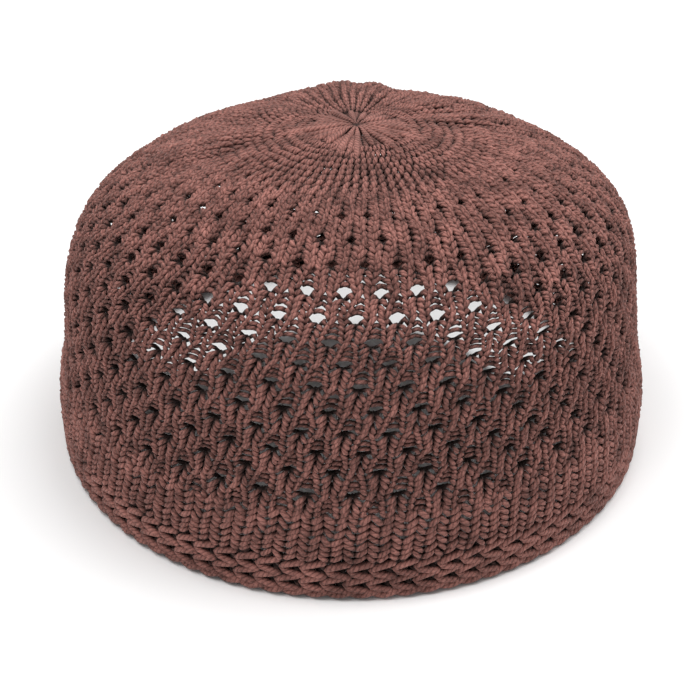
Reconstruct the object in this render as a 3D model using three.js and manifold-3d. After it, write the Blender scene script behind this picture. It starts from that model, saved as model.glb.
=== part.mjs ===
// Kufi: a soft brimless cap, knitted in the round in one piece of heavy plied yarn.
// Millimetres, +Z up, the front towards -Y. The cap rests on the flat cut of its cast-on edge at Z = 0.
import * as THREE from "three";
import { mergeVertices } from "three/addons/utils/BufferGeometryUtils.js";
import Module from "manifold-3d";

const wasm = await Module();
wasm.setup();

// Driving sizes
const CAP_RADIUS = 90.5; // widest, just above the cast-on edge
const CAP_HEIGHT = 109.7; // rim to the gather
const CROWN_LEAN = 12.8; // degrees the gather's courses drop towards the back
const CROWN_SHIFT = 3.7; // the crown lies up to this far in front of the rim's centre
const CROWN_SWAY = 2.3; // and up to this far to the right of it
const KNIT_THICKNESS = 3.2;
const WALES = 84; // columns of stitches round the cap, rim to gather
const RIB_DEPTH = 0.6; // groove between two columns
const WALE_STEPS = 2; // corners across one column, crest and groove
const LINING_STEPS = 42; // corners round the smooth inside
const GATHER_DIMPLE = 0.6; // the drawn-in centre lies this much below the crown
const DIMPLE_RADIUS = 9.0;
const SLIT_GROOVE = 0.5; // depth of the two rows of slits over the edge
const UNDERCUT = 1.0; // the hollow's cutter runs this far out of the rim

// Eyelets of the two most open rows, one over every second column
const EYELETS_A_ROW = WALES / 2;
const EYELET_CORNERS = 4;
const EYELET_REACH = 4 * KNIT_THICKNESS;

// Sections up the cap from the cast-on edge, each a round course of stitches.
// up: share of the way from edge to gather. radius: share of CAP_RADIUS. height: share of CAP_HEIGHT.
// shift, sway, lean and rib: shares of CROWN_SHIFT, CROWN_SWAY, CROWN_LEAN and RIB_DEPTH.
const SECTIONS = [
  { up: 0.0, radius: 0.994, height: 0.0, shift: 0.0, sway: 0.0, lean: 0.0, rib: 0.3 },
  { up: 0.13, radius: 1.0, height: 0.149, shift: 0.0, sway: 0.0, lean: 0.1, rib: 0.9 },
  { up: 0.265, radius: 0.972, height: 0.352, shift: 0.0, sway: 0.0, lean: 0.12, rib: 1.0 },
  { up: 0.4, radius: 0.958, height: 0.529, shift: 0.0, sway: 0.0, lean: 0.17, rib: 1.0 },
  { up: 0.49, radius: 0.926, height: 0.651, shift: 0.13, sway: 0.5, lean: 0.25, rib: 1.0 },
  { up: 0.58, radius: 0.862, height: 0.736, shift: 0.41, sway: 0.9, lean: 0.42, rib: 0.9 },
  { up: 0.67, radius: 0.737, height: 0.828, shift: 0.65, sway: 1.0, lean: 0.54, rib: 0.8 },
  { up: 0.76, radius: 0.576, height: 0.909, shift: 0.92, sway: 1.0, lean: 0.65, rib: 0.6 },
  { up: 0.85, radius: 0.389, height: 0.957, shift: 0.95, sway: 1.0, lean: 0.77, rib: 0.4 },
  { up: 0.93, radius: 0.198, height: 0.984, shift: 0.8, sway: 0.85, lean: 0.88, rib: 0.2 },
  { up: 1.0, radius: 0.0, height: 1.0, shift: 0.4, sway: 0.7, lean: 1.0, rib: 0.0 },
];

// Courses that get a ring of corners outside, and fewer inside
const OUTSIDE_RINGS = [0, 0.022, 0.045, 0.068, 0.09, 0.13, 0.2, 0.3, 0.39, 0.46, 0.53, 0.6, 0.67,
  0.74, 0.81, 0.87, 0.93, 0.97, 1];
const INSIDE_RINGS = [0, 0.13, 0.3, 0.43, 0.53, 0.62, 0.72, 0.83, 0.93, 1];
const SLIT_RINGS = [0.045, 0.09];

// Folds where the crown is drawn in, running out from the gather.
// turn: degrees from the front towards the right. rise: mm, valleys are negative. width: degrees.
const FOLDS = [
  { name: "right_valley", turn: 108, rise: -1.0, width: 5 },
  { name: "right_ridge", turn: 118, rise: 1.4, width: 6 },
  { name: "right_back_valley", turn: 131, rise: -1.1, width: 6 },
  { name: "right_back_ridge", turn: 143, rise: 1.2, width: 7 },
  { name: "back_right_valley", turn: 167, rise: -1.2, width: 4 },
  { name: "back_rise", turn: 182, rise: 3.4, width: 16 },
  { name: "back_valley", turn: 180, rise: -1.2, width: 3 },
  { name: "left_back_valley", turn: 212, rise: -0.8, width: 8 },
  { name: "left_back_ridge", turn: 232, rise: 0.9, width: 8 },
  { name: "left_ridge", turn: 265, rise: 1.2, width: 7 },
  { name: "left_valley", turn: 280, rise: -1.1, width: 6 },
];
const FOLD_MIDDLE = 0.8; // share of the way up where folds stand highest
const FOLD_REACH = 0.11;

// Rows of eyelets cut through. up: as in SECTIONS. wide, high: mm.
// start: columns from the front to the row's first eyelet. The knit leans, so the rows are not a column apart.
const EYELET_ROWS = [
  { up: 0.605, wide: 3.6, high: 2.8, start: 1.86 },
  { up: 0.65, wide: 3.4, high: 2.6, start: 1.16 },
];

const radians = THREE.MathUtils.degToRad;

// A column of SECTIONS at any course, on a smooth curve through the rows
function along(column, up) {
  const last = SECTIONS.length - 1;
  let i = SECTIONS.findIndex((s) => s.up >= up) - 1;
  if (i < 0) i = up <= 0 ? 0 : last - 1;
  const [a, b] = [SECTIONS[i], SECTIONS[i + 1]];
  const before = SECTIONS[Math.max(i - 1, 0)];
  const after = SECTIONS[Math.min(i + 2, last)];
  const span = b.up - a.up;
  const t = (up - a.up) / span;
  const slopeA = (span * (b[column] - before[column])) / (b.up - before.up);
  const slopeB = (span * (after[column] - a[column])) / (after.up - a.up);
  const [t2, t3] = [t * t, t * t * t];
  return (
    (2 * t3 - 3 * t2 + 1) * a[column] +
    (t3 - 2 * t2 + t) * slopeA +
    (3 * t2 - 2 * t3) * b[column] +
    (t3 - t2) * slopeB
  );
}

// The half-section through the cap before it leans: radius and height, in mm
function profile(up) {
  return new THREE.Vector2(along("radius", up) * CAP_RADIUS, along("height", up) * CAP_HEIGHT);
}

// Outward normal of that half-section
function profileNormal(up) {
  const step = 0.004;
  const above = profile(Math.min(up + step, 1));
  const below = profile(Math.max(up - step, 0));
  const tangent = above.sub(below).normalize();
  return new THREE.Vector2(tangent.y, -tangent.x);
}

function bell(distance, width) {
  return Math.exp(-((distance / width) ** 2));
}

// How far the knit stands out of the smooth half-section, at a turn from the front in degrees
function relief(up, turn) {
  let out = 0;
  for (const fold of FOLDS) {
    const away = THREE.MathUtils.euclideanModulo(turn - fold.turn + 180, 360) - 180;
    out += fold.rise * bell(away, fold.width) * bell(up - FOLD_MIDDLE, FOLD_REACH);
  }
  const wale = (turn / 360) * WALES;
  out -= 0.5 * RIB_DEPTH * along("rib", up) * (1 - Math.cos(2 * Math.PI * (wale - 0.5)));
  if (SLIT_RINGS.includes(up)) out -= SLIT_GROOVE;
  return out;
}

// A point of the leaning cap, a stated distance out of its smooth outside
function capPoint(up, turn, out) {
  const p = profile(up).addScaledVector(profileNormal(up), out);
  const dimple = GATHER_DIMPLE * bell(p.x, DIMPLE_RADIUS);
  const lean = radians(along("lean", up) * CROWN_LEAN);
  const angle = radians(turn);
  const forward = p.x * Math.cos(angle);
  return new THREE.Vector3(
    along("sway", up) * CROWN_SWAY + p.x * Math.sin(angle),
    -along("shift", up) * CROWN_SHIFT - forward * Math.cos(lean),
    p.y - dimple + forward * Math.sin(lean),
  );
}

// A turned solid whose rings are then leaned, shifted and ribbed as the knit is.
// The rim's ring and the middle of the flat bottom keep their own level.
function turnedShell(rings, steps, out, bottom) {
  const points = rings.map((up) => {
    const p = profile(up).addScaledVector(profileNormal(up), out);
    return new THREE.Vector2(up === 1 ? 0 : p.x, up === 0 ? bottom : p.y);
  });
  points.unshift(new THREE.Vector2(0, bottom));
  const shell = new THREE.LatheGeometry(points, steps);
  const position = shell.getAttribute("position");
  for (let i = 0; i < position.count; i++) {
    const ring = (i % points.length) - 1;
    const step = Math.floor(i / points.length) % steps;
    if (ring < 0) {
      position.setXYZ(i, 0, 0, bottom);
      continue;
    }
    const up = rings[ring];
    const turn = up === 1 ? 0 : (360 * step) / steps;
    const p = capPoint(up, turn, up === 1 ? out : out + (steps > LINING_STEPS ? relief(up, turn) : 0));
    if (up === 0) p.z = bottom;
    position.setXYZ(i, p.x, p.y, p.z);
  }
  return shell;
}

// A lozenge-shaped cutter that runs through the knit along its normal
function eyelet(up, turn, wide, high) {
  const outline = new THREE.Shape();
  for (let i = 0; i < EYELET_CORNERS; i++) {
    const a = (2 * Math.PI * i) / EYELET_CORNERS;
    const [x, y] = [0.5 * wide * Math.cos(a), 0.5 * high * Math.sin(a)];
    if (i) outline.lineTo(x, y);
    else outline.moveTo(x, y);
  }
  outline.closePath();
  const cutter = new THREE.ExtrudeGeometry(outline, { depth: EYELET_REACH, bevelEnabled: false });
  cutter.translate(0, 0, -EYELET_REACH / 2);
  const step = 0.01;
  const centre = capPoint(up, turn, -KNIT_THICKNESS / 2);
  const upwards = capPoint(up + step, turn, 0).sub(capPoint(up - step, turn, 0)).normalize();
  const outwards = capPoint(up, turn, 1).sub(capPoint(up, turn, 0));
  const across = new THREE.Vector3().crossVectors(upwards, outwards).normalize();
  outwards.crossVectors(across, upwards);
  const place = new THREE.Matrix4().makeBasis(across, upwards, outwards).setPosition(centre);
  return cutter.applyMatrix4(place);
}

function solid(geometry) {
  const bare = geometry.clone();
  bare.deleteAttribute("normal");
  bare.deleteAttribute("uv");
  const merged = mergeVertices(bare, 1e-4);
  return new wasm.Manifold(
    new wasm.Mesh({
      numProp: 3,
      vertProperties: merged.getAttribute("position").array,
      triVerts: new Uint32Array(merged.index.array),
    }),
  );
}

function geometryOf(manifold) {
  const mesh = manifold.getMesh();
  const geometry = new THREE.BufferGeometry();
  geometry.setAttribute("position", new THREE.BufferAttribute(mesh.vertProperties, mesh.numProp));
  geometry.setIndex(new THREE.BufferAttribute(mesh.triVerts, 1));
  geometry.computeVertexNormals();
  return geometry;
}

// The knit: an outer body less the hollow for the head, then the eyelets
let knit = solid(turnedShell(OUTSIDE_RINGS, WALES * WALE_STEPS, 0, 0));
knit = knit.subtract(solid(turnedShell(INSIDE_RINGS, LINING_STEPS, -KNIT_THICKNESS, -UNDERCUT)));
for (const row of EYELET_ROWS) {
  for (let i = 0; i < EYELETS_A_ROW; i++) {
    const turn = (360 * i) / EYELETS_A_ROW + (360 * row.start) / WALES;
    knit = knit.subtract(solid(eyelet(row.up, turn, row.wide, row.high)));
  }
}

const yarn = new THREE.MeshStandardMaterial({ color: 0x70493f, roughness: 0.85, metalness: 0 });
const knitCap = new THREE.Mesh(geometryOf(knit), yarn);
knitCap.name = "knit_cap";

const kufi = new THREE.Group();
kufi.name = "kufi";
kufi.add(knitCap);
export default kufi;
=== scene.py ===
"""A kufi knitted in the round from heavy plied yarn, worked stitch by stitch along its courses."""

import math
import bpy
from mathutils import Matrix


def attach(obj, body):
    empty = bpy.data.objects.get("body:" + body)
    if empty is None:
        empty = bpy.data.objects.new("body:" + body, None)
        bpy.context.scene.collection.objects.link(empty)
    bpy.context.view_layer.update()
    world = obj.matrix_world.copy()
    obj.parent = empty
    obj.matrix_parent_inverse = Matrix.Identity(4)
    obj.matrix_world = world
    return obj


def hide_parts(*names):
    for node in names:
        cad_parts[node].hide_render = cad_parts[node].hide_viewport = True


bl_info = {
    "name": "Knitted kufi",
    "version": (1, 0, 0),
    "blender": (4, 5, 0),
    "location": "3D View > Sidebar > Kufi",
    "description": "Knits a kufi course by course over its packed frame and sets its stage",
    "category": "Object",
}

import bpy
import numpy as np

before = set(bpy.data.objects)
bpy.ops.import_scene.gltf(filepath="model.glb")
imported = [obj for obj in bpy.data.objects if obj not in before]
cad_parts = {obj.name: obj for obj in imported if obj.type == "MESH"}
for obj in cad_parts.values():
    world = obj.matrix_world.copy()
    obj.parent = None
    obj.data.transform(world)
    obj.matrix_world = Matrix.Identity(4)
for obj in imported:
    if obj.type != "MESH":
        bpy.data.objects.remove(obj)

MM = 0.001

# Sections up the cap from the cast-on edge to the gather, as the solid cap has them.
# up: share of the way up. The others are shares of the sizes in KufiSizes.
SECTIONS = np.array(
    [
        (0.0, 0.994, 0.0, 0.0, 0.0, 0.0),
        (0.13, 1.0, 0.149, 0.0, 0.0, 0.1),
        (0.265, 0.972, 0.352, 0.0, 0.0, 0.12),
        (0.4, 0.958, 0.529, 0.0, 0.0, 0.17),
        (0.49, 0.926, 0.651, 0.13, 0.5, 0.25),
        (0.58, 0.862, 0.736, 0.41, 0.9, 0.42),
        (0.67, 0.737, 0.828, 0.65, 1.0, 0.54),
        (0.76, 0.576, 0.909, 0.92, 1.0, 0.65),
        (0.85, 0.389, 0.957, 0.95, 1.0, 0.77),
        (0.93, 0.198, 0.984, 0.8, 0.85, 0.88),
        (1.0, 0.0, 1.0, 0.4, 0.7, 1.0),
    ],
    dtype=[(name, float) for name in ("up", "radius", "height", "shift", "sway", "lean")],
)

# Folds where the crown is drawn in. turn, width: degrees from the front to the right. rise: mm.
FOLDS = np.array(
    [
        (108, -1.0, 5),
        (118, 1.4, 6),
        (131, -1.1, 6),
        (143, 1.2, 7),
        (167, -1.2, 4),
        (182, 3.4, 16),
        (180, -1.2, 3),
        (212, -0.8, 8),
        (232, 0.9, 8),
        (265, 1.2, 7),
        (280, -1.1, 6),
    ],
    dtype=[("turn", float), ("rise", float), ("width", float)],
)
FOLD_MIDDLE = 0.8
FOLD_REACH = 0.11

# Rows are counted down the cap: 0 is the top row of eyelets, 13 the bottom one.
GATHER_ROW = -4.9
RIM_ROW = 17.4
CROWN_START = -3.6
OPENWORK_START = -1.0
BAND_START = 12.9
EDGE_START = 15.0
COURSES_A_ROW = 4
EYELET_LIFT = 0.08

# How much further from the face the side of a strand counts than its front, for the shade painted into its
# colour.
SIDE_SHADE = 0.92

# Over these rows the crown's stitches change from left legs that cover the right ones to both showing.
LEADING_ROWS = (-2.4, -0.2)

# What a leading left leg does to its stitch: shares of its rise, its width and its radius, and swings.
LEAD = {"flatter": 0.36, "skew": 0.42, "right_leg_sinks": 1.4, "wider": 0.19, "pinch": 0.15}

# Loft: yarn swells with the height of its course to this power, up to this share of a column's width.
LOFT_POWER = 0.65
WIDEST_SHARE = 0.24

# How uneven the knitting is. level and row: courses and rows. out: swings. place: columns.
# turn: degrees. The others are shares.
JITTER = {
    "rise": 0.1,
    "level": 0.08,
    "out": 0.12,
    "stitch_out": 0.15,
    "place": 0.04,
    "row": 0.05,
    "turn": 0.35,
    "slow_radius": 0.05,
    "radius": 0.04,
    "eyelet_share": 0.3,
}

# The knit leans: at each row its columns stand this many columns to the right of where they started.
LEAN_ROWS = (-4.9, -1.0, 1.0, 3.0, 5.0, 8.0, 11.0, 13.0, 17.4)
LEAN_COLUMNS = (1.3, 0.69, 0.47, 0.14, -0.33, -1.0, -1.75, -2.12, -2.8)

# How one course crosses one column of stitches, from its left seam (-1) to its middle (0).
# rise: in courses, up from the course's own level. out: 1 at the face of the knit, -1 at its back.
# lap: in half columns, how far the left leg laps over the top of the right one.
FORM_STEPS = 7
FORMS = {
    "legs": {
        "rise": (-0.86, -0.66, -0.35, 0.0, 0.35, 0.66, 0.86),
        "out": (-0.5, 0.45, 0.95, 1.0, 0.65, -0.2, -1.4),
        "lap": 0.08,
    },
    "long_legs": {
        "rise": (-0.70, -0.50, -0.25, 0.0, 0.25, 0.50, 0.70),
        "out": (-0.5, 0.5, 0.95, 1.0, 0.95, 0.7, 0.0),
    },
    "bar": {
        "rise": (-0.70, -0.45, 0.1, 0.1, 0.0, 0.0, 0.0),
        "out": (-0.5, 0.6, 1.0, -0.2, 0.2, 0.4, 0.4),
    },
    "funnel": {
        "rise": (-0.70, -0.30, 0.15, 0.0, -0.25, -0.5, -0.6),
        "out": (-0.5, 0.5, 0.5, -0.5, -1.1, -1.4, -1.5),
    },
}

# At each row: how far the eyelets are drawn open, and how much their stitches differ from plain ones.
OPEN_ROWS = (0.0, 2.0, 3.5, 5.0, 9.0)
OPEN_SHARES = (0.0, 0.3, 1.0, 0.5, 0.1)
EYELET_SHARES = (0.25, 0.55, 1.0, 1.0, 0.95)

# The yarn: its plies, its darkest and lightest dye, and the painted shade that darkens the grooves between
# its plies.
PLIES = 3
YARN_COLOURS = ((0.120, 0.050, 0.041, 1), (0.380, 0.164, 0.136, 1))
PLY_GROOVE_SHADE = (0.5, 0.46, 0.46, 1)

# The eight courses from one eyelet down to the next in the same column.
# lift: courses the middle is raised, and less by drop where the eyelet is drawn fully open.
# arch: courses the middle stands over the bar's ends.
EYELET_REPEAT = (
    {"form": "funnel", "lift": 0.0, "arch": 0.0, "drop": 0.65},
    {"form": "legs", "lift": -0.15, "arch": 0.0, "drop": 0.45},
    {"form": "legs", "lift": 0.0, "arch": 0.0, "drop": 0.2},
    {"form": "legs", "lift": 0.0, "arch": 0.0},
    {"form": "legs", "lift": 0.0, "arch": 0.0},
    {"form": "bar", "lift": -0.05, "arch": 0.45},
    {"form": "bar", "lift": 0.1, "arch": 0.25},
    {"form": "bar", "lift": 0.3, "arch": 0.05},
)

# The last round is drawn in as spokes of three ranks, the shorter ones under the longer.
# stop: rows short of the gather. share: of the room beside it. dive, sag: mm under the face.
SPOKES = (
    {"stop": 0.03, "share": 0.4, "dive": 0.0, "sag": -0.15},
    {"stop": 0.35, "share": 0.27, "dive": 1.6, "sag": 0.45},
    {"stop": 0.62, "share": 0.2, "dive": 1.6, "sag": 0.95},
)
SPOKE_RANKS = (0, 2, 1, 2)
SPOKE_RADII = (0.4 * MM, 1.05 * MM)

# The edge: plain courses behind it, and rows of chain links over them, counted from EDGE_START.
EDGE_COURSES = 6
EDGE_SINK = 1.3 * MM
CHAIN_ROWS = (0.6, 1.45)
CHAIN_HEIGHT = 0.85
CAST_ON_RADIUS = 1.3 * MM

# Two soft lamps above the cap. size: metres. power: watts.
LAMPS = (
    {"name": "key_light", "spot": (-0.5, -0.35, 1.5), "size": 0.9, "power": 14.4},
    {"name": "top_light", "spot": (0.6, 0.15, 1.5), "size": 1.1, "power": 18.6},
)
WORLD_LIGHT = 0.45

# The strip of floor just inside the back of the rim is lit by small lamps, turned this far from the back.
FLOOR_GLOW_TURNS = (-51, -34, -17, 0, 17, 34, 51)
FLOOR_GLOW_RADIUS = 68 * MM
FLOOR_GLOW_HEIGHT = 1.5 * MM
FLOOR_GLOW_SIZE = 30 * MM
FLOOR_GLOW_POWER = 0.0022


class KufiSizes(bpy.types.PropertyGroup):
    """The cap's own sizes, the same as its solid has."""

    cap_radius: bpy.props.FloatProperty(
        name="Cap radius", description="Widest radius, just above the edge",
        default=90.5 * MM, min=0.05, unit="LENGTH", subtype="DISTANCE",
    )
    cap_height: bpy.props.FloatProperty(
        name="Cap height", description="From the cast-on edge to the gather",
        default=109.7 * MM, min=0.03, unit="LENGTH", subtype="DISTANCE",
    )
    crown_lean: bpy.props.FloatProperty(
        name="Crown lean", description="How far the gather's courses drop towards the back",
        default=math.radians(12.8), unit="ROTATION", subtype="ANGLE",
    )
    crown_shift: bpy.props.FloatProperty(
        name="Crown shift", description="How far the crown lies in front of the rim's centre",
        default=3.7 * MM, unit="LENGTH", subtype="DISTANCE",
    )
    crown_sway: bpy.props.FloatProperty(
        name="Crown sway", description="How far the crown lies to the right of the rim's centre",
        default=2.3 * MM, unit="LENGTH", subtype="DISTANCE",
    )
    dimple_depth: bpy.props.FloatProperty(
        name="Dimple depth", description="How far the drawn-in centre lies below the crown",
        default=0.6 * MM, min=0.0, unit="LENGTH", subtype="DISTANCE",
    )
    dimple_radius: bpy.props.FloatProperty(
        name="Dimple radius", description="Radius over which the crown dips to its centre",
        default=9.0 * MM, min=0.001, unit="LENGTH", subtype="DISTANCE",
    )


class KufiYarn(bpy.types.PropertyGroup):
    """The yarn and how it is knitted."""

    wales: bpy.props.IntProperty(
        name="Columns", description="Columns of stitches round the cap", default=84, min=8,
    )
    radius: bpy.props.FloatProperty(
        name="Yarn radius", description="Half the thickness of a leg of a stitch",
        default=0.82 * MM, min=0.0001, unit="LENGTH", subtype="DISTANCE",
    )
    pinch: bpy.props.FloatProperty(
        name="Pinch", description="Share of its thickness the yarn loses at the back of a stitch",
        default=0.24, min=0.0, max=0.65, subtype="FACTOR",
    )
    course_height: bpy.props.FloatProperty(
        name="Course height", description="Height of a course at which the yarn has its own radius",
        default=1.75 * MM, min=0.0005, unit="LENGTH", subtype="DISTANCE",
    )
    middle: bpy.props.FloatProperty(
        name="Middle depth", description="How far the yarn's mean path lies under the face",
        default=1.75 * MM, unit="LENGTH", subtype="DISTANCE",
    )
    swing: bpy.props.FloatProperty(
        name="Swing", description="How far the path swings to either side of that mean",
        default=1.1 * MM, unit="LENGTH", subtype="DISTANCE",
    )
    seam_swing: bpy.props.FloatProperty(
        name="Seam swing", description="How far seams zigzag round the eyelets, in columns",
        default=0.16, min=0.0, max=0.4,
    )
    ply_turn: bpy.props.FloatProperty(
        name="Ply turn", description="Length of yarn over which its plies make one full turn",
        default=4.6 * MM, min=0.001, unit="LENGTH", subtype="DISTANCE",
    )
    seed: bpy.props.IntProperty(
        name="Seed", description="Seed of the small unevenness of the knitting", default=11,
    )


def read_attribute(mesh, name):
    """A float attribute of a mesh's vertices."""
    values = np.empty(len(mesh.vertices))
    mesh.attributes[name].data.foreach_get("value", values)
    return values


def along(column, up):
    """A column of SECTIONS on a smooth curve through its rows."""
    rows, values = SECTIONS["up"], SECTIONS[column]
    last = len(rows) - 1
    i = np.clip(np.searchsorted(rows, up) - 1, 0, last - 1)
    before, after = np.maximum(i - 1, 0), np.minimum(i + 2, last)
    span = rows[i + 1] - rows[i]
    t = (up - rows[i]) / span
    slope_a = span * (values[i + 1] - values[before]) / (rows[i + 1] - rows[before])
    slope_b = span * (values[after] - values[i]) / (rows[after] - rows[i])
    t2, t3 = t * t, t * t * t
    return (
        (2 * t3 - 3 * t2 + 1) * values[i]
        + (t3 - 2 * t2 + t) * slope_a
        + (3 * t2 - 2 * t3) * values[i + 1]
        + (t3 - t2) * slope_b
    )


def share_up(row):
    """The share of the way up from the edge to the gather at which a row lies."""
    return (RIM_ROW - row) / (RIM_ROW - GATHER_ROW)


def bell(distance, width):
    """1 at no distance, falling off smoothly over a width."""
    return np.exp(-((distance / width) ** 2))


def fold_rise(up, turn):
    """How far the folds lift the face of the knit."""
    rise = np.zeros_like(turn)
    for fold in FOLDS:
        away = (turn - fold["turn"] + 180) % 360 - 180
        rise += fold["rise"] * MM * bell(away, fold["width"]) * bell(up - FOLD_MIDDLE, FOLD_REACH)
    return rise


def cap_points(row, turn, out):
    """Points a stated distance out of the cap's smooth face, from rows and turns in degrees."""
    sizes = bpy.context.scene.kufi_sizes
    up = share_up(row)
    out = out + fold_rise(up, turn)
    step = 0.004
    above, below = np.minimum(up + step, 1.0), np.maximum(up - step, 0.0)
    run = (along("radius", above) - along("radius", below)) * sizes.cap_radius
    climb = (along("height", above) - along("height", below)) * sizes.cap_height
    length = np.hypot(run, climb)
    radius = along("radius", up) * sizes.cap_radius + out * climb / length
    height = along("height", up) * sizes.cap_height - out * run / length
    height = height - sizes.dimple_depth * bell(radius, sizes.dimple_radius)
    lean = along("lean", up) * sizes.crown_lean
    angle = np.radians(turn)
    forward = radius * np.cos(angle)
    return np.stack(
        [
            along("sway", up) * sizes.crown_sway + radius * np.sin(angle),
            -along("shift", up) * sizes.crown_shift - forward * np.cos(lean),
            height + forward * np.sin(lean),
        ],
        axis=-1,
    )


def strand_along(row, turn, out, radius, face):
    """A strand's centre line: its points, outward directions, radii and nearness to the face, which sets
    the shade painted into its colour.
    """
    points = cap_points(row, turn, out)
    outward = (cap_points(row, turn, out + MM) - points) / MM
    return points, outward, radius, face


def column_width(row):
    """The width of one column at a row, in metres."""
    sizes, yarn = bpy.context.scene.kufi_sizes, bpy.context.scene.kufi_yarn
    return 2 * math.pi * along("radius", share_up(row)) * sizes.cap_radius / yarn.wales


def whole_form(form, lift=0.0, arch=0.0, samples=12):
    """A form's rise and out across the whole column, its middle lifted."""
    half = FORMS[form]
    across = np.linspace(-1, 0, FORM_STEPS)
    s = np.linspace(-1, 1, samples, endpoint=False)
    rise = np.interp(-np.abs(s), across, half["rise"])
    lapped = s - half.get("lap", 0.0) * (1 - s * s)
    out = np.interp(-np.abs(lapped), across, half["out"])
    middle = np.clip(1.3 * (1 - np.abs(s) / 0.75), 0, 1)
    rise = rise + lift * middle * middle * (3 - 2 * middle)
    rise = rise + arch * np.clip(1 - (s / 0.5) ** 2, 0, 1)
    return s, rise, out


def zigzag(row, column):
    """1 where a column is at its own eyelet, -1 halfway to the next, fading out past the openwork."""
    apart = (row - column % 2) % 2
    wave = 1 - 2 * np.minimum(apart, 2 - apart)
    from_top = np.clip(row - OPENWORK_START + 0.5, 0, 1)
    from_bottom = np.clip(BAND_START + 0.6 - row, 0, 1)
    return wave * (from_top * from_bottom)


class Unevenness:
    """Slow seeded waves and fine grain, so that no two stitches are quite the same."""

    KINDS, WAVES_A_KIND = 3, 3

    def __init__(self, seed):
        count = self.KINDS * self.WAVES_A_KIND
        self.rng = np.random.default_rng(seed)
        self.round = self.rng.integers(2, 30, count)
        self.down = self.rng.uniform(0.6, 5.0, count)
        self.phase = self.rng.uniform(0, 2 * math.pi, count)

    def wave(self, row, turn, kind):
        """The sum of one kind's slow waves, within -1 and 1."""
        total = 0.0
        for i in range(kind, len(self.phase), self.KINDS):
            total = total + np.sin(self.round[i] * np.radians(turn) + self.down[i] * row + self.phase[i])
        return total / self.WAVES_A_KIND

    def grain(self, size):
        """Even random numbers from -1 to 1."""
        return self.rng.uniform(-1, 1, size)


def knit_lean(row):
    """How many columns the knit has leant to the right at a row."""
    return np.interp(row, LEAN_ROWS, LEAN_COLUMNS)


def row_height(row):
    """The height of one row at a row, measured along the face in metres."""
    sizes = bpy.context.scene.kufi_sizes
    span = RIM_ROW - GATHER_ROW
    ends = [(RIM_ROW - row + offset) / span for offset in (0.5, -0.5)]
    ends = [np.clip(end, 0.0, 1.0) for end in ends]
    run = (along("radius", ends[0]) - along("radius", ends[1])) * sizes.cap_radius
    climb = (along("height", ends[0]) - along("height", ends[1])) * sizes.cap_height
    return np.hypot(run, climb) / ((ends[0] - ends[1]) * span)


def open_eyelets(row, rise, out, uneven, samples):
    """Changes a plain course's stitches to those of the eyelet repeat, in the odd and the even columns."""
    for column in range(2):
        below = int(round((row - column) % 2 * COURSES_A_ROW - 0.5)) % (2 * COURSES_A_ROW)
        stitch = EYELET_REPEAT[below]
        lift = stitch["lift"] - stitch.get("drop", 0.0) * np.interp(row, OPEN_ROWS, OPEN_SHARES)
        _, eyelet_rise, eyelet_out = whole_form(stitch["form"], lift, stitch["arch"], samples)
        grain = uneven.grain((len(rise[column::2]), 1))
        share = np.interp(row, OPEN_ROWS, EYELET_SHARES) + JITTER["eyelet_share"] * grain
        share = share.clip(0, 1)
        rise[column::2] += (eyelet_rise - rise[column::2]) * share
        out[column::2] += (eyelet_out - out[column::2]) * share


def knit_course(row, course_rows, uneven, samples=12, sink=0.0, openwork=False, form="legs", steep=1.0):
    """One closed round of yarn."""
    yarn = bpy.context.scene.kufi_yarn
    columns = np.arange(yarn.wales)[:, None]
    s, plain_rise, plain_out = whole_form(form, samples=samples)
    rise = np.tile(plain_rise, (yarn.wales, 1))
    out = np.tile(plain_out, (yarn.wales, 1))
    if openwork:
        open_eyelets(row, rise, out, uneven, samples)
    lead = np.interp(row, LEADING_ROWS, (1.0, 0.0))
    a_stitch = (yarn.wales, 1)
    rise = rise * steep * (1 - LEAD["flatter"] * lead) * (1 + JITTER["rise"] * uneven.grain(a_stitch))
    rise = rise + JITTER["level"] * uneven.grain(a_stitch)
    out = out + JITTER["out"] * uneven.grain(out.shape) + JITTER["stitch_out"] * uneven.grain(a_stitch)
    out = out - LEAD["right_leg_sinks"] * lead * np.clip(1 - ((s - 0.5) / 0.5) ** 2, 0, 1)
    skewed = s + LEAD["skew"] * lead * (1 - s * s)
    rows = row - rise * course_rows
    left = columns - 0.5 - yarn.seam_swing * zigzag(rows, columns)
    right = columns + 0.5 + yarn.seam_swing * zigzag(rows, columns)
    place = left + (right - left) * (skewed[None, :] + 1) / 2 + JITTER["place"] * uneven.grain(a_stitch)
    turn = place * 360 / yarn.wales
    if openwork:
        rows = rows - EYELET_LIFT
    turn = turn + knit_lean(rows) * 360 / yarn.wales
    rows = rows + JITTER["row"] * uneven.wave(rows, turn, 0)
    turn = turn + JITTER["turn"] * uneven.wave(rows, turn, 1)
    width = column_width(rows)
    loft = (course_rows * row_height(row) / yarn.course_height) ** LOFT_POWER
    thick = np.minimum(yarn.radius * loft, (WIDEST_SHARE + LEAD["wider"] * lead) * width)
    flat = np.minimum(thick / yarn.radius, 1.0)
    depth = -yarn.middle * flat + out * yarn.swing * flat - sink
    radius = thick * (1 - (yarn.pinch + LEAD["pinch"] * lead) * (1 - out.clip(-1, 1)) / 2)
    slow = JITTER["slow_radius"] * uneven.wave(rows, turn, 2)
    radius = radius * (1 + slow + JITTER["radius"] * uneven.grain(out.shape))
    # The last value is the painted shade: yarn at the back of the knit and sunk courses are painted
    # darker.
    strand = strand_along(rows, turn, depth, radius, out - sink / yarn.swing)
    half = yarn.wales // 2
    return tuple(np.roll(part, half, axis=0).reshape(-1, *part.shape[2:]) for part in strand)


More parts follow.
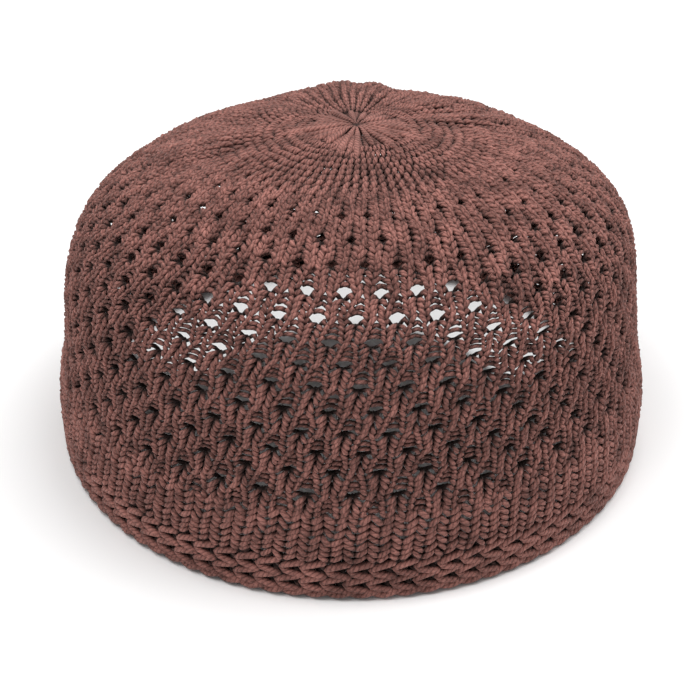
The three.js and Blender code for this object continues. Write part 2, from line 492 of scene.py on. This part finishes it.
def store_on_points(tree, curve, value, name):
    """A node that keeps a value on a curve's points under a name."""
    store = tree.nodes.new("GeometryNodeStoreNamedAttribute")
    store.data_type, store.domain = "FLOAT", "POINT"
    store.inputs["Name"].default_value = name
    tree.links.new(curve.outputs["Curve"], store.inputs["Geometry"])
    tree.links.new(value, store.inputs["Value"])
    return store


def yarn_tree():
    """Geometry nodes that spin a round strand of yarn along every path of a wire mesh."""
    tree = bpy.data.node_groups.get("yarn_along_paths")
    if tree:
        return tree
    tree = bpy.data.node_groups.new("yarn_along_paths", "GeometryNodeTree")
    sockets = tree.interface
    sockets.new_socket("Paths", in_out="INPUT", socket_type="NodeSocketGeometry")
    sides = sockets.new_socket("Sides", in_out="INPUT", socket_type="NodeSocketInt")
    sides.default_value, sides.min_value = 5, 3
    thickness = sockets.new_socket("Thickness", in_out="INPUT", socket_type="NodeSocketFloat")
    thickness.default_value, thickness.min_value = 1.0, 0.1
    sockets.new_socket("Material", in_out="INPUT", socket_type="NodeSocketMaterial")
    sockets.new_socket("Yarn", in_out="OUTPUT", socket_type="NodeSocketGeometry")
    nodes, link = tree.nodes, tree.links.new
    given = nodes.new("NodeGroupInput")
    to_curve = nodes.new("GeometryNodeMeshToCurve")
    link(given.outputs["Paths"], to_curve.inputs["Mesh"])
    parameter = nodes.new("GeometryNodeSplineParameter")
    store_along = store_on_points(tree, to_curve, parameter.outputs["Length"], "along")
    circle = nodes.new("GeometryNodeCurvePrimitiveCircle")
    circle.mode = "RADIUS"
    circle.inputs["Radius"].default_value = 1.0
    link(given.outputs["Sides"], circle.inputs["Resolution"])
    round_parameter = nodes.new("GeometryNodeSplineParameter")
    store_around = store_on_points(tree, circle, round_parameter.outputs["Factor"], "around")
    radius = nodes.new("GeometryNodeInputNamedAttribute")
    radius.data_type = "FLOAT"
    radius.inputs["Name"].default_value = "yarn_radius"
    scale = nodes.new("ShaderNodeMath")
    scale.operation = "MULTIPLY"
    link(radius.outputs["Attribute"], scale.inputs[0])
    link(given.outputs["Thickness"], scale.inputs[1])
    sweep = nodes.new("GeometryNodeCurveToMesh")
    sweep.inputs["Fill Caps"].default_value = True
    link(store_along.outputs["Geometry"], sweep.inputs["Curve"])
    link(store_around.outputs["Geometry"], sweep.inputs["Profile Curve"])
    link(scale.outputs[0], sweep.inputs["Scale"])
    smooth = nodes.new("GeometryNodeSetShadeSmooth")
    link(sweep.outputs["Mesh"], smooth.inputs["Geometry"])
    realize = nodes.new("GeometryNodeRealizeInstances")
    link(smooth.outputs["Geometry"], realize.inputs["Geometry"])
    material = nodes.new("GeometryNodeSetMaterial")
    link(realize.outputs["Geometry"], material.inputs["Geometry"])
    link(given.outputs["Material"], material.inputs["Material"])
    result = nodes.new("NodeGroupOutput")
    link(material.outputs["Geometry"], result.inputs["Yarn"])
    return tree


def socket_id(tree, name):
    """The identifier of a tree's input socket."""
    sockets = tree.interface.items_tree
    return next(item.identifier for item in sockets if item.name == name and item.in_out == "INPUT")


def lay_uv(mesh, ply_turn):
    """A map whose U goes once round the strand and whose V counts turns of the plies along it."""
    starts = np.empty(len(mesh.polygons), dtype=np.int64)
    mesh.polygons.foreach_get("loop_start", starts)
    vertex = np.empty(len(mesh.loops), dtype=np.int64)
    mesh.loops.foreach_get("vertex_index", vertex)
    sizes = np.diff(np.append(starts, len(vertex)))
    around = read_attribute(mesh, "around")[vertex]
    length = read_attribute(mesh, "along")[vertex]
    widest = np.repeat(np.maximum.reduceat(around, starts), sizes)
    around = around + (widest - around > 0.5)
    furthest = np.repeat(np.maximum.reduceat(length, starts), sizes)
    length = np.where(furthest - length > 0.05, furthest, length)
    layer = mesh.uv_layers.new(name="yarn_map")
    layer.data.foreach_set("uv", np.stack([around, length / ply_turn], axis=1).ravel())
    mesh.attributes.remove(mesh.attributes["along"])
    mesh.attributes.remove(mesh.attributes["around"])


def paint_shade_on_sides(mesh):
    """Marks the sides of strands as further from the face, for painted shade, and paints that shade alike
    outside and inside.
    """
    normals = np.empty(3 * len(mesh.vertices))
    mesh.vertices.foreach_get("normal", normals)
    outward = np.empty(3 * len(mesh.vertices))
    mesh.attributes["outward"].data.foreach_get("vector", outward)
    turned = (normals.reshape(-1, 3) * outward.reshape(-1, 3)).sum(axis=1)
    face = read_attribute(mesh, "face")
    # Surfaces turned inward are painted by how far their yarn lies from the middle of the knit, so the
    # inside is not painted dark.
    face = face + (np.abs(face) - face) * np.clip(-turned, 0, 1)
    # Painted shade: the sides of a strand are painted darker.
    face = face - SIDE_SHADE * (1 - np.abs(turned))
    mesh.attributes["face"].data.foreach_set("value", face)
    for name in ("outward", "yarn_radius"):
        mesh.attributes.remove(mesh.attributes[name])


def spin(name, strands, sides, closed=True):
    """A piece made of yarn along the given strands."""
    points, outward, radii, faces = (np.concatenate(part) for part in zip(*strands))
    edges, first = [], 0
    for strand in strands:
        index = np.arange(first, first + len(strand[0]))
        pairs = np.stack([index, np.roll(index, -1)], axis=1)
        edges.append(pairs if closed else pairs[:-1])
        first += len(index)
    edges = np.concatenate(edges)
    mesh = bpy.data.meshes.new(name + "_paths")
    mesh.vertices.add(len(points))
    mesh.vertices.foreach_set("co", points.ravel())
    mesh.edges.add(len(edges))
    mesh.edges.foreach_set("vertices", edges.ravel())
    mesh.attributes.new("yarn_radius", "FLOAT", "POINT").data.foreach_set("value", radii)
    # face: how near the yarn lies to the face, which the yarn material turns into painted shade.
    mesh.attributes.new("face", "FLOAT", "POINT").data.foreach_set("value", faces)
    mesh.attributes.new("outward", "FLOAT_VECTOR", "POINT").data.foreach_set("vector", outward.ravel())
    mesh.update()
    piece = bpy.data.objects.new(name, mesh)
    bpy.context.scene.collection.objects.link(piece)
    tree = yarn_tree()
    modifier = piece.modifiers.new("yarn", "NODES")
    modifier.node_group = tree
    modifier[socket_id(tree, "Sides")] = sides
    modifier[socket_id(tree, "Thickness")] = 1.0
    modifier[socket_id(tree, "Material")] = yarn_material()
    spun = bpy.data.meshes.new_from_object(piece.evaluated_get(bpy.context.evaluated_depsgraph_get()))
    piece.modifiers.clear()
    piece.data = spun
    spun.name = name
    bpy.data.meshes.remove(mesh)
    if len(spun.polygons) == 0:
        raise RuntimeError(name + " came out empty")
    paint_shade_on_sides(spun)
    lay_uv(spun, bpy.context.scene.kufi_yarn.ply_turn)
    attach(piece, "root")
    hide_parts("knit_cap")
    return piece


def maths(material, operation, value, other=None, added=None):
    """The result of a Math node on a socket, and on numbers or sockets beside it."""
    node = material.node_tree.nodes.new("ShaderNodeMath")
    node.operation = operation
    for given, socket in zip((value, other, added), node.inputs):
        if isinstance(given, bpy.types.NodeSocket):
            material.node_tree.links.new(given, socket)
        elif given is not None:
            socket.default_value = given
    return node.outputs[0]


def noise(material, place, scale, detail):
    """The strength of a noise over the piece's own coordinates."""
    node = material.node_tree.nodes.new("ShaderNodeTexNoise")
    node.inputs["Scale"].default_value = scale
    node.inputs["Detail"].default_value = detail
    material.node_tree.links.new(place.outputs["Object"], node.inputs["Vector"])
    return node.outputs["Fac"]


def mapped(material, value, from_range, to_range, interpolation="LINEAR"):
    """A value carried over from one range to another."""
    node = material.node_tree.nodes.new("ShaderNodeMapRange")
    node.interpolation_type = interpolation
    for name, ends in (("From", from_range), ("To", to_range)):
        node.inputs[name + " Min"].default_value = ends[0]
        node.inputs[name + " Max"].default_value = ends[1]
    material.node_tree.links.new(value, node.inputs["Value"])
    return node.outputs["Result"]


def multiplied(material, colour):
    """A node that multiplies a colour by its socket B."""
    node = material.node_tree.nodes.new("ShaderNodeMix")
    node.data_type, node.blend_type = "RGBA", "MULTIPLY"
    material.node_tree.links.new(colour, node.inputs["A"])
    return node


def bump(material, height, distance):
    """A bump of a stated height in metres."""
    node = material.node_tree.nodes.new("ShaderNodeBump")
    node.inputs["Strength"].default_value = 0.8
    node.inputs["Distance"].default_value = distance
    material.node_tree.links.new(height, node.inputs["Height"])
    return node


def yarn_material():
    """Matt plied yarn: twisted plies, short fibres, a slightly uneven dye, and painted shade in the ply
    grooves and where the yarn lies deep in the knit.
    """
    material = bpy.data.materials.get("plied_yarn")
    if material:
        return material
    material = bpy.data.materials.new("plied_yarn")
    material.use_nodes = True
    nodes, link = material.node_tree.nodes, material.node_tree.links.new
    surface = nodes["Principled BSDF"]
    surface.inputs["Specular IOR Level"].default_value = 0.25
    surface.inputs["Sheen Weight"].default_value = 0.12
    surface.inputs["Sheen Roughness"].default_value = 0.5
    surface.inputs["Sheen Tint"].default_value = (0.95, 0.72, 0.66, 1)
    uv = nodes.new("ShaderNodeUVMap")
    uv.uv_map = "yarn_map"
    parts = nodes.new("ShaderNodeSeparateXYZ")
    link(uv.outputs["UV"], parts.inputs[0])
    ply_turns = maths(material, "MULTIPLY", parts.outputs["Y"], PLIES)
    turns = maths(material, "MULTIPLY_ADD", parts.outputs["X"], PLIES, ply_turns)
    wave = maths(material, "SINE", maths(material, "MULTIPLY", turns, math.pi))
    ply = maths(material, "ABSOLUTE", wave)
    place = nodes.new("ShaderNodeTexCoord")
    fibres = noise(material, place, 1500, 3)
    dye = noise(material, place, 140, 4)
    dye_share = maths(material, "MULTIPLY", dye, 0.55)
    tone = maths(material, "MULTIPLY_ADD", fibres, 0.45, dye_share)
    colour = nodes.new("ShaderNodeValToRGB")
    for stop, position, shade in zip(colour.color_ramp.elements, (0.36, 0.64), YARN_COLOURS):
        stop.position, stop.color = position, shade
    link(tone, colour.inputs["Fac"])
    # Painted shade: the colour is darkened in the grooves between the plies.
    painted_groove_shade = multiplied(material, colour.outputs["Color"])
    painted_groove_shade.inputs["B"].default_value = PLY_GROOVE_SHADE
    link(mapped(material, ply, (0.0, 0.55), (1.0, 0.0)), painted_groove_shade.inputs["Factor"])
    # Painted shade: the colour is darkened down to 6 % where the face attribute marks yarn as deep in the
    # knit or on a strand's side.
    painted_shade_mask = nodes.new("ShaderNodeAttribute")
    painted_shade_mask.attribute_name = "face"
    painted_shade = multiplied(material, painted_groove_shade.outputs["Result"])
    painted_shade.inputs["Factor"].default_value = 1.0
    depth = mapped(material, painted_shade_mask.outputs["Fac"], (-0.85, 0.9), (0.06, 1.0), "SMOOTHSTEP")
    link(depth, painted_shade.inputs["B"])
    link(painted_shade.outputs["Result"], surface.inputs["Base Color"])
    twist = bump(material, ply, 0.36 * MM)
    fuzz = bump(material, fibres, 0.22 * MM)
    link(twist.outputs["Normal"], fuzz.inputs["Normal"])
    link(fuzz.outputs["Normal"], surface.inputs["Normal"])
    link(mapped(material, fibres, (0.0, 1.0), (0.8, 0.98)), surface.inputs["Roughness"])
    return material


class KUFI_OT_crown(bpy.types.Operator):
    """Knits the plain crown from its gathered centre to the first eyelets"""

    bl_idname = "kufi.crown"
    bl_label = "Knit the crown"
    bl_options = {"REGISTER", "UNDO"}

    courses: bpy.props.IntProperty(
        name="Courses", description="Plain courses in the crown", default=8, min=2,
    )

    def execute(self, context):
        uneven = Unevenness(context.scene.kufi_yarn.seed)
        step = (OPENWORK_START - CROWN_START) / self.courses
        rows = [CROWN_START + (i + 0.5) * step for i in range(self.courses)]
        strands = [knit_course(row, step, uneven) for row in rows]
        spin("crown_knit", strands, 5)
        spin("crown_gather", gather_strands(uneven), 6, closed=False)
        return {"FINISHED"}


def gather_strands(uneven):
    """Loops of the last round drawn in to the centre like spokes, the shorter under the longer."""
    yarn = bpy.context.scene.kufi_yarn
    sizes = bpy.context.scene.kufi_sizes
    spokes = yarn.wales // 2
    strands = []
    for spoke in range(2 * spokes):
        rank = SPOKES[SPOKE_RANKS[spoke % len(SPOKE_RANKS)]]
        jitter = uneven.grain(6)
        inward = np.linspace(0, 1, 13)
        start = CROWN_START + 0.35 + 0.45 * jitter[2]
        end = GATHER_ROW + rank["stop"] * (1 + 0.25 * jitter[4])
        rows = start + (end - start) * inward
        turn = (spoke + 0.3 * jitter[0]) * 180 / spokes + (2.0 + 6.0 * jitter[1]) * inward ** 2
        from_centre = along("radius", share_up(rows)) * sizes.cap_radius
        room = 4 * math.pi * from_centre / spokes
        radius = np.clip(rank["share"] * room, *SPOKE_RADII) * (1 + 0.12 * jitter[3])
        radius = radius * (0.55 + 0.45 * np.sin(math.pi * np.clip(inward / 0.5, 0, 0.5)))
        pit = 1.2 * MM * bell(from_centre, 2.2 * MM)
        dive = 0.7 * (1 - np.clip(inward / 0.22, 0, 1)) ** 2
        dive = dive + rank["dive"] * np.clip(inward / 0.35 - 1.86, 0, 1) ** 2
        sag = dive + rank["sag"] + 0.35 * jitter[5]
        # Painted shade: darker at the gather's centre and where a spoke sags or dives.
        face = 1 - 2.0 * bell(from_centre, 1.9 * MM) - 0.9 * sag
        strands.append(strand_along(rows, turn, -radius - pit - sag * MM, radius, face))
    return strands


class KUFI_OT_openwork(bpy.types.Operator):
    """Knits the staggered eyelets over the shoulder and down the wall"""

    bl_idname = "kufi.openwork"
    bl_label = "Knit the openwork"
    bl_options = {"REGISTER", "UNDO"}

    pieces: bpy.props.IntProperty(
        name="Pieces", description="Bands the openwork is kept in", default=4, min=1,
    )

    def execute(self, context):
        yarn = context.scene.kufi_yarn
        uneven = Unevenness(yarn.seed + 1)
        step = 1 / COURSES_A_ROW
        count = math.ceil((BAND_START - OPENWORK_START) / step)
        rows = [OPENWORK_START + (i + 0.5) * step for i in range(count)]
        rounds = [knit_course(row, step, uneven, openwork=True) for row in rows]
        share = math.ceil(count / self.pieces)
        for i in range(self.pieces):
            spin("openwork_%d" % (i + 1), rounds[i * share : (i + 1) * share], 5)
        return {"FINISHED"}


class KUFI_OT_band(bpy.types.Operator):
    """Knits the plain band between the eyelets and the edge"""

    bl_idname = "kufi.band"
    bl_label = "Knit the band"
    bl_options = {"REGISTER", "UNDO"}

    courses: bpy.props.IntProperty(
        name="Courses", description="Plain courses in the band", default=7, min=1,
    )

    def execute(self, context):
        uneven = Unevenness(context.scene.kufi_yarn.seed + 2)
        step = (EDGE_START - BAND_START) / self.courses
        rows = [BAND_START + (i + 0.5) * step for i in range(self.courses)]
        strands = [knit_course(row, step, uneven, form="long_legs", steep=0.85) for row in rows]
        spin("plain_band", strands, 5)
        return {"FINISHED"}


def chain_link(row, height, column, radius, uneven):
    """One link of a chain that runs round the edge, shaped like a less-than sign."""
    yarn = bpy.context.scene.kufi_yarn
    jitter = uneven.grain(4)
    t = np.linspace(-1, 1, 13)
    reach = np.abs(t)
    across = column - 0.55 + 0.06 * jitter[0] + 1.12 * reach ** 1.15
    rise = np.sign(t) * height * (0.13 * np.minimum(reach / 0.17, 1) + 0.42 * reach)
    dive = np.clip((reach - 0.75) / 0.25, 0, 1) ** 2
    thick = radius * (1 - 0.2 * dive) * (1 + 0.06 * jitter[1])
    tip = (1 - np.clip(reach / 0.2, 0, 1)) ** 2
    out = -thick - 0.1 * radius - 1.1 * radius * dive - 0.4 * radius * tip
    turn = (across + knit_lean(row)) * 360 / yarn.wales
    rows = row - rise + 0.03 * jitter[2]
    # Painted shade: a link is painted darker where it dives.
    return strand_along(rows, turn, out, thick, 1.3 - 2.5 * dive)


def cast_on_strand(phase, radius, uneven):
    """One of the two strands that twist about each other along the cast-on edge."""
    yarn = bpy.context.scene.kufi_yarn
    columns = np.arange(yarn.wales * 6) / 6
    twist = math.pi * columns + phase
    rows = RIM_ROW - 0.36 + 0.12 * np.cos(twist)
    turn = (columns + knit_lean(RIM_ROW)) * 360 / yarn.wales
    out = -radius - (0.8 - 0.7 * np.sin(twist)) * MM + 0.05 * MM * uneven.grain(len(columns))
    thick = radius * (1 + 0.04 * uneven.wave(rows, turn, 0))
    # Painted shade: each strand is painted darker where it twists to the back.
    return strand_along(rows, turn, out, thick, np.clip(0.7 + 0.8 * np.sin(twist), -1, 1.3))


class KUFI_OT_edge(bpy.types.Operator):
    """Works the two chains and the rounded cast-on edge"""

    bl_idname = "kufi.edge"
    bl_label = "Work the edge"
    bl_options = {"REGISTER", "UNDO"}

    link_radius: bpy.props.FloatProperty(
        name="Link radius", description="Half the thickness of a link of the chains",
        default=1.08 * MM, min=0.0002, unit="LENGTH", subtype="DISTANCE",
    )

    def execute(self, context):
        yarn = context.scene.kufi_yarn
        uneven = Unevenness(yarn.seed + 3)
        step = (RIM_ROW - EDGE_START) / EDGE_COURSES
        rows = [EDGE_START + i * step for i in range(EDGE_COURSES)]
        back = [knit_course(row, step, uneven, samples=8, sink=EDGE_SINK) for row in rows]
        spin("edge_back", back, 5)
        links = [
            chain_link(EDGE_START + row, CHAIN_HEIGHT, column, self.link_radius, uneven)
            for row in CHAIN_ROWS
            for column in range(yarn.wales)
        ]
        spin("edge_chains", links, 7, closed=False)
        strands = [cast_on_strand(phase, CAST_ON_RADIUS, uneven) for phase in (0.0, math.pi)]
        spin("cast_on_edge", strands, 8)
        return {"FINISHED"}


class KUFI_OT_stage(bpy.types.Operator):
    """Sets a pale floor, soft light and the camera"""

    bl_idname = "kufi.stage"
    bl_label = "Set the stage"
    bl_options = {"REGISTER", "UNDO"}

    distance: bpy.props.FloatProperty(
        name="Distance", description="From the camera to the middle of the cap",
        default=0.9, unit="LENGTH", subtype="DISTANCE",
    )
    elevation: bpy.props.FloatProperty(
        name="Elevation", description="Angle of the camera above the floor",
        default=math.radians(34.82), unit="ROTATION", subtype="ANGLE",
    )
    aim_height: bpy.props.FloatProperty(
        name="Aim height", description="Height of the point in the middle of the picture",
        default=26.7 * MM, unit="LENGTH", subtype="DISTANCE",
    )
    lens: bpy.props.FloatProperty(
        name="Lens", description="Focal length of the camera in millimetres", default=149.1,
    )

    def execute(self, context):
        scene = context.scene
        bpy.ops.mesh.primitive_plane_add(size=6, location=(0, 0, 0))
        floor = context.object
        floor.name = "floor"
        paper = bpy.data.materials.new("paper")
        paper.use_nodes = True
        surface = paper.node_tree.nodes["Principled BSDF"]
        surface.inputs["Base Color"].default_value = (0.9, 0.9, 0.9, 1)
        surface.inputs["Roughness"].default_value = 0.9
        floor.data.materials.append(paper)
        world = scene.world or bpy.data.worlds.new("studio")
        scene.world = world
        world.use_nodes = True
        backdrop = world.node_tree.nodes["Background"]
        backdrop.inputs["Color"].default_value = (1, 1, 1, 1)
        backdrop.inputs["Strength"].default_value = WORLD_LIGHT
        for given in LAMPS:
            lamp = bpy.data.lights.new(given["name"], "AREA")
            lamp.energy, lamp.size = given["power"], given["size"]
            holder = bpy.data.objects.new(given["name"], lamp)
            holder.location = given["spot"]
            scene.collection.objects.link(holder)
            aim = -holder.location
            holder.rotation_euler = aim.to_track_quat("-Z", "Y").to_euler()
        glow = bpy.data.lights.new("floor_glow", "AREA")
        glow.shape, glow.energy = "RECTANGLE", FLOOR_GLOW_POWER
        glow.size, glow.size_y = FLOOR_GLOW_SIZE, FLOOR_GLOW_SIZE
        for i, turn in enumerate(FLOOR_GLOW_TURNS):
            angle = math.radians(turn)
            holder = bpy.data.objects.new("floor_glow_%d" % (i + 1), glow)
            across, back = FLOOR_GLOW_RADIUS * math.sin(angle), FLOOR_GLOW_RADIUS * math.cos(angle)
            holder.location = (across, back, FLOOR_GLOW_HEIGHT)
            holder.rotation_euler = (0, 0, -angle)
            scene.collection.objects.link(holder)
        camera = bpy.data.cameras.new("camera")
        camera.sensor_width = 36.0
        camera.lens = self.lens
        camera.shift_x = -0.0014
        holder = bpy.data.objects.new("camera", camera)
        holder.location = (
            0.0,
            -self.distance * math.cos(self.elevation),
            self.aim_height + self.distance * math.sin(self.elevation),
        )
        holder.rotation_euler = (math.pi / 2 - self.elevation, 0, 0)
        scene.collection.objects.link(holder)
        scene.camera = holder
        scene.view_settings.view_transform = "Standard"
        return {"FINISHED"}


OPERATORS = (KUFI_OT_crown, KUFI_OT_openwork, KUFI_OT_band, KUFI_OT_edge, KUFI_OT_stage)


class KUFI_PT_panel(bpy.types.Panel):
    """Lists the steps of making the cap"""

    bl_idname = "KUFI_PT_panel"
    bl_label = "Kufi"
    bl_space_type = "VIEW_3D"
    bl_region_type = "UI"
    bl_category = "Kufi"

    def draw(self, context):
        for group in (context.scene.kufi_sizes, context.scene.kufi_yarn):
            box = self.layout.box()
            for key in group.bl_rna.properties.keys():
                if key not in {"rna_type", "name"}:
                    box.prop(group, key)
        for operator in OPERATORS:
            self.layout.operator(operator.bl_idname)


CLASSES = (KufiSizes, KufiYarn, *OPERATORS, KUFI_PT_panel)


def register():
    for cls in CLASSES:
        bpy.utils.register_class(cls)
    bpy.types.Scene.kufi_sizes = bpy.props.PointerProperty(type=KufiSizes)
    bpy.types.Scene.kufi_yarn = bpy.props.PointerProperty(type=KufiYarn)


def unregister():
    del bpy.types.Scene.kufi_yarn
    del bpy.types.Scene.kufi_sizes
    for cls in reversed(CLASSES):
        bpy.utils.unregister_class(cls)


def main():
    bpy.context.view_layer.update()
    register()
    bpy.ops.kufi.crown()
    bpy.ops.kufi.openwork()
    bpy.ops.kufi.band()
    bpy.ops.kufi.edge()
    bpy.ops.kufi.stage()


if __name__ == "__main__":
    main()
